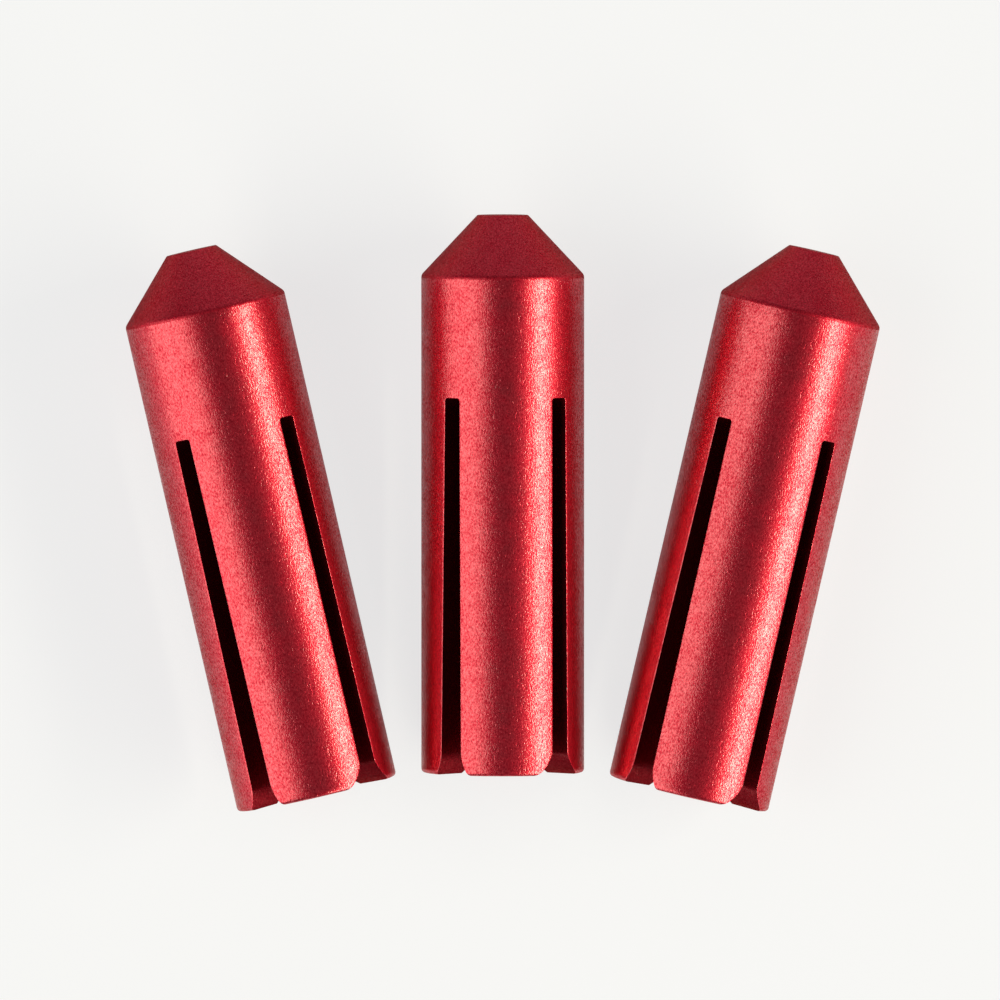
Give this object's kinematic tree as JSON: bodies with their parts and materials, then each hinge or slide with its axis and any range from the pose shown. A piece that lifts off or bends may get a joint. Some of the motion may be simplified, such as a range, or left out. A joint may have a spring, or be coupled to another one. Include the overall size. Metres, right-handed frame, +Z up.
{
  "type": "dart flight protector set",
  "caption": "Fan of slim turned metal caps with conical noses and crossed slots at the open end, which slide over the tail fins of a dart flight to protect it.",
  "frame": {"origin": "centre of the set's box, on the surface that the protectors lie on", "axes": "+Z up; +Y from the open end of the middle protector to its nose; +X across the fan"},
  "size_m": [0.0208, 0.0164, 0.0045],
  "materials": {
    "anodised_aluminium": "red anodised over a fine etched, satin surface"
  },
  "bodies": {
    "root": {"left_protector": "anodised_aluminium", "centre_protector": "anodised_aluminium", "right_protector": "anodised_aluminium"}
  },
  "joints": []
}
